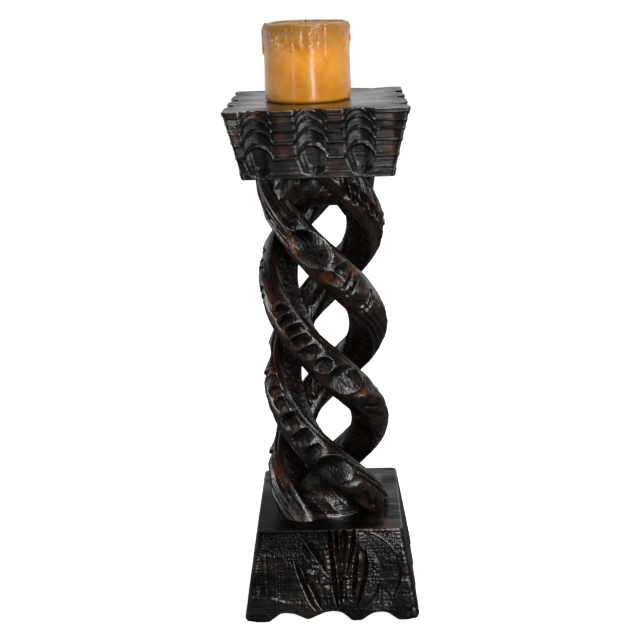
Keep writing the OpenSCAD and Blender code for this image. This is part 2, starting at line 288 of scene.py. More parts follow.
def front_carving(x, z):
    """How deep the base's front is cut, in mm, at a place across it and a height."""
    depth = 0.16 * soft_noise(x, z, 11, 1) + 0.1 * soft_noise(x, z, 4, 2) + 0.25
    # a sunk field to the left of the spray, with a plain border under it
    border = np.interp(x, [-77, -55, -41, -21], [24.5, 23.4, 19, 18])
    field = ramp(z, border - 0.5, border + 0.5) * ramp(-x, 14, 26)
    field *= ramp(x, -73, -71.5) * fall(z, 82.5, 84)
    depth += 0.75 * field
    stippled = np.maximum(
        ramp(x, -65, -62) * ramp(z, 60, 64),
        ramp(x, -42, -38) * ramp(z, 52, 56),
    )
    depth += 0.95 * field * stippled * ramp(-x, 23, 27) * pecks(x, z, 1.9, 11)
    ticks = np.maximum(0, np.sin(z * 2 * math.pi / 2.7 + 1.2 * soft_noise(x, z, 5, 5)))
    left_strip = fall(np.abs(x + 66), 2.2, 3.4) * fall(np.abs(z - 44), 18, 21)
    inner_strip = fall(np.abs(x + 45), 2.4, 3.6) * fall(np.abs(z - 38), 13, 16)
    depth += 0.7 * ticks * np.maximum(left_strip, inner_strip)
    for points, half_width, cut in (
        # straight lines down the field
        ([(-58.5, 69), (-58.5, 26)], 1.3, 0.9),
        ([(-49, 58), (-49.5, 23)], 1.1, 0.6),
        ([(-71, 66), (-70, 24)], 1.0, 0.5),
        # the leaves: pairs of deep cuts that leave a raised rib between them
        ([(-32.5, 56), (-27, 41), (-21, 25), (-14.5, 11)], 2.548, 4.16),
        ([(-30, 55), (-22, 42), (-15, 28), (-9, 12)], 2.45, 3.84),
        ([(-25, 72), (-22, 64), (-19, 57)], 2.156, 2.72),
        ([(-22.5, 77), (-15, 67), (-8, 55), (-3.5, 45)], 2.45, 3.84),
        ([(-0.8, 90), (0.3, 70), (2.5, 45), (5.5, 11)], 2.548, 4.48),
        ([(5.4, 90), (6.3, 66), (9.2, 40), (8.8, 13)], 2.352, 4.16),
        ([(13.2, 90), (12.4, 66), (10.6, 42)], 4.116, 4.8),
        ([(22.6, 90), (20, 66), (14.4, 43)], 2.548, 4.16),
        ([(25.2, 68), (22.4, 46), (20, 19)], 2.548, 3.84),
        ([(32.4, 69), (32.2, 46), (25.5, 20), (22.5, 12)], 2.45, 4.16),
        # arcs that carry the crescent's line down to the bottom edge
        ([(64, 50), (62, 34), (57, 20), (52, 9)], 1.2, 0.9),
        ([(44, 34), (40, 22), (32, 12)], 1.3, 0.9),
        ([(78, 24), (74, 13), (70, 5)], 1.2, 0.8),
    ):
        depth += gouge_cut(x, z, points, half_width, cut)
    depth += 1.2 * fall(np.hypot((x - 28.5) / 3.5, (z - 64) / 6), 0.2, 1)
    # short facets struck between the leaves
    for cx, cz, turn in ((-16, 48, 0.5), (-20, 50, -0.4), (-7, 40, 0.9), (11.5, 39, -0.8),
                         (-12, 52, 0.2), (16.5, 38, 0.6), (19, 74, -0.3), (-3, 33, 0.4)):
        u = (x - cx) * math.cos(turn) + (z - cz) * math.sin(turn)
        v = (z - cz) * math.cos(turn) - (x - cx) * math.sin(turn)
        inside = unit(1 - (u / 4.2) ** 2 - (v / 3.0) ** 2)
        depth += np.sqrt(inside) * np.clip(0.9 + 0.35 * u, 0, 2.2) * 0.8
    spray = fall(np.abs(x - 2), 16, 24) * fall(np.abs(z - 50), 28, 34)
    depth += 0.65 * spray * pecks(x, z, 4.6, 21) + 0.35 * spray
    depth += 0.25 * pecks(x, z, 3.4, 23)
    # a smooth sunk crescent to the right, with pecked lobes inside it
    outer = np.hypot(x - 22, z - 43)
    inner = np.hypot(x - 13, z - 42)
    crescent = fall(outer, 41.2, 42) * ramp(inner, 30.2, 34) * ramp(x, 26, 34)
    depth += 1.15 * crescent * ramp(z, 8, 30)
    lobes = fall(inner, 30, 31.5) * ramp(inner, 22, 24) * ramp(x, 33, 36)
    depth += 0.9 * lobes * pecks(x, z, 3.0, 31) * ramp(z, 30, 40)
    ledge = ramp(x, 22, 27) * fall(x, 72, 78)
    depth += 0.8 * ledge * ramp(z, 38.6, 39.4) * fall(z, 41, 58)
    corner = ramp(outer, 42.5, 44) * ramp(z, 62, 66) * fall(x, 64, 66)
    depth += (0.4 + 0.9 * pecks(x, z, 1.9, 41)) * corner * fall(z, 82.5, 84.5)
    return np.maximum(depth, 0) * fall(np.abs(x), 76, 79)


def arch_height(x):
    """Height of a side's bottom edge above the table: two lobes between three arches."""
    at = [-90, -57.5, -51.5, -44, -36, -29, -22, -14.5, -7, 1, 9, 14, 18, 27, 32, 38, 46, 53,
          61, 90]
    up = [0, 0, 6.9, 8.6, 7.7, 4.8, 1.7, 5.2, 8.4, 9.5, 8.4, 4.6, 0, 0, 3.4, 6.9, 8.1, 6.9, 0, 0]
    near = [np.interp(x + shift, at, up) for shift in (-1.8, -0.9, 0, 0.9, 1.8)]
    return sum(near) / len(near)


def square_stations(counts, corner_steps):
    """Places round a square from the front's left end: side, share along it, turn at the corner."""
    stations = []
    for side, count in enumerate(counts):
        stations += [(side, 2 * k / count - 1, 0.0) for k in range(count)]
        stations += [(side, 1.0, math.pi / 2 * k / corner_steps) for k in range(corner_steps)]
    return np.array(stations + [(0, -1.0, 0.0)]).T


def around_square(stations, half, corner, depth=0.0):
    """x and y of each station on a rounded square of a half width, cut inwards by depth."""
    side, share, turn = stations
    along = share * (half - corner) + (corner - depth) * np.sin(turn)
    out = half - corner + (corner - depth) * np.cos(turn)
    angle = side * math.pi / 2
    return along * np.cos(angle) + out * np.sin(angle), along * np.sin(angle) - out * np.cos(angle)


def skin(name, x, y, z):
    """A grid primitive whose rows and columns are laid at the places given, in mm."""
    rows, columns = np.broadcast_shapes(x.shape, y.shape, z.shape)
    bpy.ops.object.select_all(action="DESELECT")
    bpy.ops.mesh.primitive_grid_add(x_subdivisions=columns - 1, y_subdivisions=rows - 1, size=2)
    piece = bpy.context.object
    piece.name = piece.data.name = name
    flat = np.empty(len(piece.data.vertices) * 3)
    piece.data.vertices.foreach_get("co", flat)
    flat = flat.reshape(-1, 3)
    column = np.rint((flat[:, 0] + 1) / 2 * (columns - 1)).astype(int)
    row = np.rint((flat[:, 1] + 1) / 2 * (rows - 1)).astype(int)
    x, y, z = np.broadcast_arrays(x, y, z)
    place = np.stack([x[row, column], y[row, column], z[row, column]], axis=1) * MM
    piece.data.vertices.foreach_set("co", place.ravel())
    piece.data.update()
    edit_all(bpy.ops.mesh.remove_doubles, threshold=0.001 * MM)
    return piece


def choose_open_edges(piece, chosen):
    """In edit mode, selects the open edges whose ends both meet a test of their place in mm."""
    bpy.ops.mesh.select_mode(type="EDGE")
    bpy.ops.mesh.select_all(action="DESELECT")
    mesh = bmesh.from_edit_mesh(piece.data)
    for edge in mesh.edges:
        edge.select = edge.is_boundary and all(chosen(v.co / MM) for v in edge.verts)
    mesh.select_flush_mode()
    bmesh.update_edit_mesh(piece.data)


def extrude_rim(piece, chosen, moves):
    """Extrudes an open rim once for each move, a function from a place to a new one, in mm."""
    bpy.ops.object.mode_set(mode="EDIT")
    choose_open_edges(piece, chosen)
    for move in moves:
        bpy.ops.mesh.extrude_edges_move()
        mesh = bmesh.from_edit_mesh(piece.data)
        for vertex in mesh.verts:
            if vertex.select:
                vertex.co = Vector(move(*(vertex.co / MM))) * MM
        bmesh.update_edit_mesh(piece.data)
    bpy.ops.object.mode_set(mode="OBJECT")


def inset(share, z=None, rise=0.0):
    """A rim move: draws the rim in to a share of its width, at its own height or a given one."""
    return lambda x, y, old_z: (x * share, y * share, (old_z if z is None else z) + rise)


def ring(radius, z=None, rise=0.0):
    """A rim move: lays the rim on a circle round the middle, at its own height or a given one."""
    return lambda x, y, old_z: inset(radius / math.hypot(x, y), z, rise)(x, y, old_z)


def mend(piece):
    """Cuts out any spot where faces are pinched together or open, and closes the gap again."""
    bpy.ops.object.mode_set(mode="EDIT")
    bpy.ops.mesh.select_mode(type="VERT")
    for attempt in range(8):
        bpy.ops.mesh.select_all(action="DESELECT")
        bpy.ops.mesh.select_non_manifold()
        if not any(vertex.select for vertex in bmesh.from_edit_mesh(piece.data).verts):
            break
        if attempt % 2:
            bpy.ops.mesh.select_more()
        bpy.ops.mesh.delete(type="VERT")
        bpy.ops.mesh.select_non_manifold()
        bpy.ops.mesh.fill_holes(sides=0)
    bpy.ops.mesh.select_all(action="SELECT")
    bpy.ops.mesh.normals_make_consistent(inside=False)
    bpy.ops.object.mode_set(mode="OBJECT")


def close_and_turn_out(piece, join_rims=False):
    """Bridges two open rims if asked, merges doubles, and turns all faces outwards."""
    bpy.ops.object.mode_set(mode="EDIT")
    if join_rims:
        choose_open_edges(piece, lambda co: True)
        bpy.ops.mesh.bridge_edge_loops()
    bpy.ops.mesh.select_mode(type="VERT")
    bpy.ops.mesh.select_all(action="SELECT")
    bpy.ops.mesh.remove_doubles(threshold=0.001 * MM)
    bpy.ops.object.mode_set(mode="OBJECT")
    mend(piece)
    bpy.ops.object.shade_smooth_by_angle(angle=math.radians(42))


def points_of(piece):
    """The places of a piece's points, in mm, one row for each."""
    flat = np.empty(len(piece.data.vertices) * 3)
    piece.data.vertices.foreach_get("co", flat)
    return flat.reshape(-1, 3) / MM


def store(piece, name, values):
    """Stores one number for each point of a piece."""
    layer = piece.data.attributes.new(name, "FLOAT", "POINT")
    layer.data.foreach_set("value", values.astype(np.float32))


def mark_wear_and_shade(piece, fine_steps=3, broad_steps=16, unworn_z=None, painted_shadow=()):
    """Stores how far each point stands proud of its surroundings (edge) or lies below (hollow). The
    wood paints shade into the hollows from this mask, and the last argument adds spots of painted
    shadow to it.
    """
    mesh = piece.data
    count = len(mesh.vertices)
    place = points_of(piece)
    normal = np.empty(count * 3)
    ends = np.empty(len(mesh.edges) * 2, dtype=np.int64)
    mesh.vertices.foreach_get("normal", normal)
    mesh.edges.foreach_get("vertices", ends)
    normal, ends = normal.reshape(-1, 3), ends.reshape(-1, 2)
    neighbours = np.bincount(ends.ravel(), minlength=count)[:, None].clip(1)

    def spread(values):
        total = np.zeros_like(values)
        for axis in range(values.shape[1]):
            for a, b in ((0, 1), (1, 0)):
                total[:, axis] += np.bincount(ends[:, a], values[ends[:, b], axis], count)
        return 0.5 * values + 0.5 * total / neighbours

    smooth = place
    kept = {}
    for step in range(1, broad_steps + 1):
        smooth = spread(smooth)
        if step in (fine_steps, broad_steps):
            kept[step] = ((place - smooth) * normal).sum(1, keepdims=True)
    for name, step, reach in (("edge", fine_steps, 0.10), ("hollow", broad_steps, 0.45)):
        height = spread(kept[step])[:, 0] / reach
        values = np.clip(height if name == "edge" else -height, -1, 1) * 0.5 + 0.5
        if unworn_z is not None:  # no wear or painted shade along a glued joint
            values[np.abs(place[:, 2] - unworn_z) < 1.3] = 0.5
        # spots of painted shadow, added to the hollow mask
        for x, y, z, reach, strength in painted_shadow if name == "hollow" else ():
            away = np.linalg.norm(place - (x, y, z), axis=1)
            values = np.maximum(values, strength * np.exp(-((away / reach) ** 4)))
        store(piece, name, values)


def base_half(z):
    """Half width of the base at a height, before any carving."""
    return board_half - board_slope * z


base_stations = square_stations((280, 84, 84, 84), 6)


def board_skin(name, bottom, top, rows):
    """The sides of one base board between two heights (each a number or one per station)."""
    share = np.linspace(0, 1, rows)[:, None]
    z = bottom * (1 - share) + top * share
    half = base_half(z)
    along = base_stations[1] * (half - corner_round)
    joint = joint_z
    top_round = edge_round - (top - z) if np.all(top > joint) else 0.25 - (top - z)
    low_round = edge_round - (z - bottom) if np.all(bottom < joint) else 0.25 - (z - bottom)
    rounding = np.maximum(top_round, low_round).clip(0)
    depth = edge_round - np.sqrt((edge_round**2 - rounding**2).clip(0))
    carved = front_carving(along, z)
    plain = 0.12 * (1 + soft_noise(along + 200 * base_stations[0], z, 14, 3))
    is_front = base_stations[0] == 0
    depth = depth + np.where(is_front, carved, plain)
    at_corner = ramp(np.abs(along), half - 12, half - corner_round)
    depth = depth + at_corner * 3.0 * unit(1 - z / 5) ** 2
    x, y = around_square(base_stations, half, corner_round, depth)
    return skin(name, x, y, z)


arches = arch_height(base_stations[1] * (board_half - corner_round)) * (base_stations[2] == 0)
lower_board = board_skin("lower_board", arches, joint_z, 64)
extrude_rim(
    lower_board, lambda co: co.z < 15,
    [inset(arch_inset), inset(1, 0), ring(counterbore_r, 0),
     ring(counterbore_r, counterbore_top), ring(lag_hole_r, counterbore_top)],
)
extrude_rim(lower_board, lambda co: co.z > joint_z - 0.1 and max(abs(co.x), abs(co.y)) > 40,
            [ring(lag_hole_r, joint_z)])
close_and_turn_out(lower_board, join_rims=True)
mark_wear_and_shade(lower_board, unworn_z=joint_z)
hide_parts("base_lower_board")
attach(lower_board, "candlestick")


# Stained hardwood: near-black stain over brown wood with a satin wax finish. The grain runs
# along the group's Z axis. Handling has rubbed the edges back to red-brown and orange.
def stained_wood_group():
    """Colour, roughness and height of the stained wood, from a place, the wear masks and the hollow
    mask, which it turns into painted shade.
    """
    group = bpy.data.node_groups.new("stained_wood", "ShaderNodeTree")
    for name, kind in (("Place", "NodeSocketVector"), ("Edge", "NodeSocketFloat"),
                       ("Hollow", "NodeSocketFloat"), ("Rubbed", "NodeSocketFloat")):
        group.interface.new_socket(name, in_out="INPUT", socket_type=kind)
    for name, kind in (("Color", "NodeSocketColor"), ("Roughness", "NodeSocketFloat"),
                       ("Gloss", "NodeSocketFloat"), ("Height", "NodeSocketFloat")):
        group.interface.new_socket(name, in_out="OUTPUT", socket_type=kind)
    given = group.nodes.new("NodeGroupInput").outputs
    result = group.nodes.new("NodeGroupOutput").inputs

    def number(operation, a, b=0.0):
        node = add_node(group, "Math", {0: a, 1: b}, operation=operation)
        return node[0]

    def weigh(a, share_a, b, share_b):
        return number("ADD", number("MULTIPLY", a, share_a), number("MULTIPLY", b, share_b))

    def rise(value, start, end):
        node = add_node(group, "MapRange",
                        {"Value": value, "From Min": start, "From Max": end},
                        interpolation_type="SMOOTHSTEP")
        return node["Result"]

    def blend(factor, a, b):
        node = add_node(group, "Mix", {"Factor": factor, 6: a, 7: b}, data_type="RGBA")
        return node[2]

    def noise(scale, stretch, detail=4.0, distortion=0.0):
        long_place = add_node(group, "VectorMath",
                              {0: given["Place"], 1: (1, 1, stretch)}, operation="MULTIPLY")
        node = add_node(group, "TexNoise",
                        {"Vector": long_place[0], "Scale": scale, "Detail": detail,
                         "Distortion": distortion})
        return node["Fac"]

    rings_place = add_node(group, "VectorMath",
                           {0: given["Place"], 1: (0.13, 0.09, 0.0)}, operation="ADD")
    rings = add_node(group, "TexWave",
                     {"Vector": rings_place[0], "Scale": 70.0, "Distortion": 9.0,
                      "Detail": 3.0, "Detail Scale": 0.35},
                     wave_type="RINGS", rings_direction="Z")["Fac"]
    fibre = noise(1500.0, 0.035)
    streak = noise(800.0, 0.045, 2.0)
    cloud = noise(38.0, 0.5, 4.0)
    blotch = noise(16.0, 0.6, 3.0, 0.4)
    grain = weigh(fibre, 0.5, streak, 0.5)
    stain = color_steps(group, weigh(grain, 0.55, cloud, 0.45),
                        [(0.36, (0.0008, 0.0007, 0.0006)), (0.50, (0.0024, 0.0019, 0.0014)),
                         (0.66, (0.0085, 0.0062, 0.0042))])
    red = color_steps(group, grain,
                      [(0.3, (0.008, 0.0023, 0.0012)), (0.7, (0.040, 0.0100, 0.0045))])
    orange = color_steps(group, grain,
                         [(0.3, (0.026, 0.0075, 0.0025)), (0.7, (0.080, 0.024, 0.0065))])
    reddish = rise(number("ADD", blotch, number("MULTIPLY", given["Rubbed"], 0.55)), 0.66, 0.95)
    color = blend(number("MULTIPLY", reddish, 0.85), stain, red)
    rubbed = rise(number("ADD", given["Rubbed"], number("MULTIPLY", streak, 0.5)), 0.68, 1.2)
    color = blend(rubbed, color, orange)
    worn = number("MULTIPLY", rise(given["Edge"], 0.60, 0.92), rise(cloud, 0.36, 0.62))
    color = blend(number("MULTIPLY", worn, 0.35), color, red)
    # painted shade: the hollows are darkened towards near-black, and their wax coat is dulled
    sunk = number("MULTIPLY", rise(given["Hollow"], 0.62, 0.95), 0.82)
    color = blend(sunk, color, (0.0012, 0.0010, 0.0009, 1.0))
    group.links.new(color, result["Color"])
    group.links.new(number("ADD", 0.28, number("MULTIPLY", cloud, 0.2)), result["Roughness"])
    # the wax lies in patches, and shines most on the proud edges
    patchy = weigh(cloud, 0.55, streak, 0.45)
    waxed = number("ADD", 0.03, number("MULTIPLY", rise(patchy, 0.42, 0.62), 0.95))
    waxed = number("ADD", waxed, number("MULTIPLY", rise(given["Edge"], 0.72, 0.96), 0.7))
    waxed = number("MULTIPLY", waxed, number("SUBTRACT", 1.0, sunk))
    group.links.new(waxed, result["Gloss"])
    height = number("ADD", weigh(fibre, 0.6, streak, 1.1), number("MULTIPLY", rings, 0.10))
    group.links.new(number("ADD", height, number("MULTIPLY", cloud, 0.3)), result["Height"])
    return group


wood_group = stained_wood_group()


def stained_wood(name, grain_turn, relief, haze=0.08):
    """A stained wood material whose grain runs along Z, or along X with a quarter turn."""
    material, tree, shader, spot = new_material(name)
    place = add_node(tree, "Mapping", {"Vector": spot, "Rotation": grain_turn})
    masks = {"Place": place[0]}
    for mask in ("Edge", "Hollow", "Rubbed"):
        layer = add_node(tree, "Attribute", attribute_name=mask.lower())
        masks[mask] = layer["Fac"]
    wood = add_node(tree, "Group", masks, node_tree=wood_group)
    bump = add_node(tree, "Bump",
                    {"Strength": relief, "Distance": 0.002, "Height": wood["Height"]})[0]
    feed(tree, shader, {"Base Color": wood["Color"], "Roughness": wood["Roughness"],
                        "Normal": bump, "Specular IOR Level": haze, "Coat Weight": wood["Gloss"],
                        "Coat Roughness": 0.2, "Coat Normal": bump})
    return material


def mark_rubbed(piece, spots):
    """Stores where handling has rubbed the stain off: (x, y, z, reach, strength) spots in mm."""
    place = points_of(piece)
    rubbed = np.zeros(len(place))
    for x, y, z, reach, strength in spots:
        away = np.linalg.norm(place - (x, y, z), axis=1)
        rubbed = np.maximum(rubbed, strength * np.exp(-((away / reach) ** 2)))
    store(piece, "rubbed", rubbed)


board_wood = stained_wood("board_wood", (0, math.pi / 2, 0), relief=0.05)
mark_rubbed(lower_board, [(40, -80, 36, 10, 0.5), (-20, -80, 8, 8, 0.4)])
lower_board.data.materials.append(board_wood)


# ---------------------------------------------------------------- upper board of the base
# The same wood as the lower board and glued flat on top of it, with four dowels between them.
# Its sides carry the slope on, and its top is planed smooth to take the foot of the column.
upper_board = board_skin("upper_board", joint_z, base_top, 80)
extrude_rim(upper_board, lambda co: co.z < joint_z + 0.1, [ring(lag_hole_r, joint_z)])
extrude_rim(
    upper_board, lambda co: co.z > base_top - 0.1,
    [inset(0.985, rise=-0.03), inset(0.97), inset(0.955), inset(0.94),
     inset(0.86, base_top), inset(0.83, base_top), ring(lag_hole_r, base_top)],
)
close_and_turn_out(upper_board, join_rims=True)
# painted shadow of the column's foot on the base top, to its left and in front of it
mark_wear_and_shade(upper_board, unworn_z=joint_z,
          painted_shadow=[(-64, -20, base_top, 60, 1.0), (-30, -60, base_top, 50, 1.0)])
mark_rubbed(upper_board, [(52, -52, 86, 9, 0.9), (44, -62, 86, 7, 0.6), (3, -69, 70, 5, 0.7),
                          (3, -70, 60, 5, 0.7), (4, -72, 50, 4, 0.5)])
upper_board.data.materials.append(board_wood)
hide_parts("base_upper_board")
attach(upper_board, "candlestick")


# ---------------------------------------------------------------- dowels, lag screw and washer
# Beech dowels between the boards and at both ends of the column, with a zinc-plated lag screw
# and washer that draw the column down from under the base. All are hidden once it is put together.
beech, tree, shader, spot = new_material("beech_dowel")
fibres = add_node(tree, "Mapping", {"Vector": spot, "Scale": (1, 1, 0.05)})
streaks = add_node(tree, "TexNoise",
                   {"Vector": fibres[0], "Scale": 900.0, "Detail": 4.0})["Fac"]
tint = color_steps(tree, streaks, [(0.3, (0.42, 0.25, 0.12)), (0.7, (0.62, 0.41, 0.22))])
bump = add_node(tree, "Bump", {"Strength": 0.3, "Distance": 0.0004, "Height": streaks})
feed(tree, shader, {"Base Color": tint, "Normal": bump[0], "Roughness": 0.6})

zinc, tree, shader, spot = new_material("zinc_plate")
spangle = add_node(tree, "TexVoronoi", {"Vector": spot, "Scale": 700.0})
dull = add_node(tree, "TexNoise",
                {"Vector": spot, "Scale": 260.0, "Detail": 5.0})["Fac"]
tint = color_steps(tree, spangle["Distance"],
                   [(0.0, (0.50, 0.51, 0.52)), (1.0, (0.66, 0.66, 0.64))])
gloss = add_node(tree, "MapRange", {"Value": dull, "To Min": 0.25, "To Max": 0.5})
bump = add_node(tree, "Bump", {"Strength": 0.15, "Distance": 0.0002, "Height": dull})
feed(tree, shader, {"Base Color": tint, "Roughness": gloss[0],
                    "Normal": bump[0], "Metallic": 1.0})

for node, material in (("board_dowels", beech), ("column_dowels", beech), ("foot_lag_screw", zinc),
                       ("foot_washer", zinc), ("capital_screw", zinc)):
    frame["nodes"][node].data.materials.clear()
    frame["nodes"][node].data.materials.append(material)


# ---------------------------------------------------------------- twisted column
# One block of the same wood, its grain upright, carved into three strands that wind round an
# open middle. A collar of solid wood is left between the strands at each end, where the dowels
# and screws bite. The strands are worked all over with gouges: scoops, slits and long flutes.
column_low, column_high = (corner[2] for corner in box_mm("twist_column"))
strand_r = 18.0
strand_centre_r = 40.5
pitch = 282.0
climb = math.atan(pitch / (2 * math.pi * strand_centre_r))
flat_away = 14.5
collar_r = 44.0
core_tip_r = 9.0
core_tip_low = box_mm("foot_lag_screw")[1][2] + 8  # 8 mm of wood past each screw
core_tip_high = box_mm("capital_screw")[0][2] - 8


def strand_place(k, s, turn, radius):
    """x, y and z at s along a strand, turned from outwards, at a radius from its middle."""
    z = column_low + s * math.sin(climb)
    angle = np.radians(-15 + 120 * k - 360 * (z - column_low) / pitch)
    out, side = np.cos(turn) * radius, np.sin(turn) * radius
    away = strand_centre_r + out
    sideways = side * math.sin(climb)
    return (away * np.cos(angle) - sideways * np.sin(angle),
            away * np.sin(angle) + sideways * np.cos(angle),
            z + side * math.cos(climb))


def notch(s, y, at_s, at_y, length, half_width, depth, bow=1.5, turn=0.0):
    """A cut that drops sharply at its upper end and rises again slowly down the strand."""
    q = (y - at_y) * math.cos(turn) - (s - at_s) * math.sin(turn)
    p = (s - at_s) * math.cos(turn) + (y - at_y) * math.sin(turn)
    p = p + bow * (q / half_width) ** 2
    across = np.sqrt(unit(1 - (q / half_width) ** 2))
    slope = unit(1 + p / length) ** 1.25 * (p < 0)
    wall = unit(1 - p / 1.0) * (p >= 0)
    return depth * across * (slope + wall)


def bowl(s, y, at_s, at_y, reach_s, reach_y, depth, lean=0.4):
    """A thumbprint scoop with a crisp rim, deepest towards its upper end."""
    p, q = (s - at_s) / reach_s, (y - at_y) / reach_y
    inside = unit(1 - p * p - q * q)
    return depth * inside**0.72 * (1 + lean * p + 0.012 * np.cos(26 * np.sqrt(1 - inside)))


def flute(s, y, from_s, from_y, to_s, to_y, half_width, depth, round_end=3.0):
    """A long round-bottomed gouge track from one point to another."""
    length = math.hypot(to_s - from_s, to_y - from_y)
    us, uy = (to_s - from_s) / length, (to_y - from_y) / length
    along = (s - from_s) * us + (y - from_y) * uy
    away = np.abs((y - from_y) * us - (s - from_s) * uy)
    ends = np.sqrt(unit(np.minimum(along, length - along) / round_end))
    return depth * ends * np.sqrt(unit(1 - (away / half_width) ** 2))


def strand_carving(k, s, y):
    """How deep one strand is cut, in mm, at s along it and y round it."""
    turned = s + 431.0 * k
    depth = 0.45 * (1 + soft_noise(turned / 2.4, y, 8, 51))
    depth += 0.18 * (1 + soft_noise(turned, y, 5, 52))
    depth += 0.10 * (1 + soft_noise(turned / 6, y, 1.6, 53))
    # rough chopping on the inner flats
    inner = ramp(np.abs(y), 27, 31)
    depth += inner * (1.1 * pecks(turned, y, 6.5, 61) + 0.5 * pecks(turned, y, 3.2, 62))
    # fine streaks left by the gouge, fanning out towards the head
    fan = ramp(s, 330, 370) * fall(np.abs(y), 18, 24)
    depth += 0.55 * fan * (1 + soft_noise(turned / 20, y - 0.06 * s, 2.0, 54))
    # the bead along the strand's right-hand edge, and thin lines to its left
    for line in ((55, 20.5, 230, 20.5, 1.3, 0.9), (205, -13, 292, -9, 2.0, 0.7),
                 (200, -18, 285, -15, 2.2, 0.9), (212, -22.5, 280, -21, 2.0, 0.9)):
        depth += flute(s, y, *line)
    # long planes down from the top, and two lines under the wide scoop
    flutes = [(364, 1, 440, 5, 5.2, 1.9, 8), (368, 10, 440, 14, 4.8, 1.8, 8),
              (372, 18, 440, 22, 4.2, 1.5, 8), (352, -8, 440, -5, 4.6, 1.5, 14),
              (340, -16, 430, -14, 3.8, 1.0, 14), (146, -1, 160, -11, 2.2, 1.2),
              (132, -6, 152, -14, 2.6, 1.1)]
    if k != 2:  # leaf cuts on the toe; the third strand's toe is a plain fan
        flutes += [(14, 12, 72, 16, 1.8, 1.5), (4, 5, 58, 10, 2.0, 1.5),
                   (20, -12, 40, -1, 2.5, 2.0), (6, -15, 26, -3, 2.6, 2.1),
                   (-4, -12, 12, 0, 2.4, 1.8)]
    else:
        flutes += [(-6, 6 + 4 * i, 34, 3 + 6 * i, 2.4, 0.6, 8) for i in range(4)]
    if k == 0:  # five short flutes at the head
        flutes += [(a - 9, b - 8.1, a + 30, b + 27, 3.2, 3.0)
                   for a, b in ((426, -10.5), (417, -8.5), (408, -6.6), (398, -4.7), (389, -2.5))]
    # from the top: the thumbprint, its facet, a round scoop, the wide scoop, and the foot's scoop
    bowls = [(346, 5.5, 18, 17.5, 6.6, 0.75), (318, -4.5, 8, 7, 1.3, -0.3),
             (208, 2.0, 6.5, 9.5, 3.4, 0.5), (187, 2.0, 13.5, 16.5, 4.4, 0.7),
             (73, 0.5, 14.5, 16, 5.4, 0.6)]
    # from the top: a facet and four slits, a run of five notches, and the rest down to the foot
    notches = [(321, 11, 13, 8.5, 3.4, 1.0, 0.35),
               (310, 4.5, 2.4, 13, 3.4, 0.3, -0.12), (303, 1.0, 2.4, 12.5, 3.4, 0.3, -0.12),
               (286, -3, 2.4, 11.5, 3.0, 0.3, -0.1), (280, -6, 2.4, 10.5, 3.0, 0.3, -0.1),
               (266, 12, 8, 8, 2.2), (256, 11, 8, 8.5, 2.4), (246.5, 10.5, 8, 9.5, 3.0, 1.2, 0.1),
               (237, 7, 9, 10, 3.2, 1.2, 0.1), (226, 4.5, 9.5, 10, 3.4, 1.2, 0.1),
               (171.5, 4, 7, 13, 1.9, -3.0, 0.1), (168, 14, 8, 7, 2.0), (157, 14, 8, 7, 2.2),
               (146, 14, 8, 7.5, 2.4), (131, 11.5, 12, 10.5, 3.6, 1.2, 0.05),
               (114, 7, 12, 11, 3.6, 1.2), (99, 3, 11, 11, 3.8, 1.4),
               (57, 2, 8, 13, 2.6, -3.0, 0.1)]
    cuts = [tool(s, y, *row)
            for tool, rows in ((flute, flutes), (bowl, bowls), (notch, notches)) for row in rows]
    return depth + (np.maximum.reduce(cuts) + 0.25 * sum(cuts))


def strand(k):
    """One round strand, flat on the two sides that meet the other strands, cut off at both ends."""
    s = np.linspace(-34, 468, 540)[:, None]
    turn = np.linspace(-math.pi, math.pi, 121)[None, :]
    face = math.radians(120)
    radius = np.minimum(strand_r, flat_away / np.cos(np.abs(turn) - face).clip(0.5))
    y = turn * strand_r
    radius = radius - strand_carving(k, s, y) * fall(np.abs(turn), 2.7, 3.1)
    piece = skin(f"strand_{k}", *strand_place(k, s, turn, radius))
    cap_ends(piece)
    return piece


def cap_ends(piece):
    """Closes the open rims of a piece with flat caps, and turns its faces outwards."""
    bpy.ops.object.mode_set(mode="EDIT")
    choose_open_edges(piece, lambda co: True)
    bpy.ops.mesh.fill_holes(sides=0)
    bpy.ops.mesh.select_all(action="SELECT")
    bpy.ops.mesh.normals_make_consistent(inside=False)
    bpy.ops.object.mode_set(mode="OBJECT")


def collar(name, end, tip, seed):
    """The solid wood at one end of the column: a rounded drum over a cone that runs to a tip."""
    way = 1 if tip > end else -1
    profile = [(collar_r, 0), (collar_r, 8), (collar_r - 0.8, 15), (collar_r - 2.8, 20),
               (collar_r - 6, 24.5), (collar_r - 12, 28.5), (collar_r - 20, 32),
               (core_tip_r + 7, abs(tip - end) - 5), (core_tip_r, abs(tip - end))]
    lengths = np.cumsum([0] + [math.dist(a, b) for a, b in zip(profile, profile[1:])])
    along = np.linspace(0, lengths[-1], 70)[:, None]
    turn = np.linspace(0, 2 * math.pi, 241)[None, :]
    radius = np.interp(along, lengths, [p[0] for p in profile]) + 0 * turn
    rise = np.interp(along, lengths, [p[1] for p in profile]) + 0 * turn
    if end > tip:  # at the head the wood between the strands reaches further down on one side
        from_web = (np.degrees(-turn) - 222 + 60) % 120 - 60
        web = np.exp(-((from_web / 19) ** 2))
        rise = rise * (1 + 0.5 * web * ramp(radius, 12, 30))
        radius = radius + 7.0 * web * ramp(radius, 30, 42)
    # diagonal gouge tracks, running with the strands
    across = (turn * collar_r + way * rise / math.tan(climb)) / 13.8
    track = np.abs(across - np.floor(across) - 0.5) * 2
    depth = np.sqrt(1 - track**2) + 0.3 * np.sin(across * 37) ** 2
    depth += 0.5 * (1 + soft_noise(turn * collar_r, rise, 7, seed))
    radius = radius - depth * ramp(rise, 1, 5)
    z = end + way * rise
    turn = turn * way
    piece = skin(name, radius * np.cos(turn), radius * np.sin(turn), z)
    cap_ends(piece)
    return piece


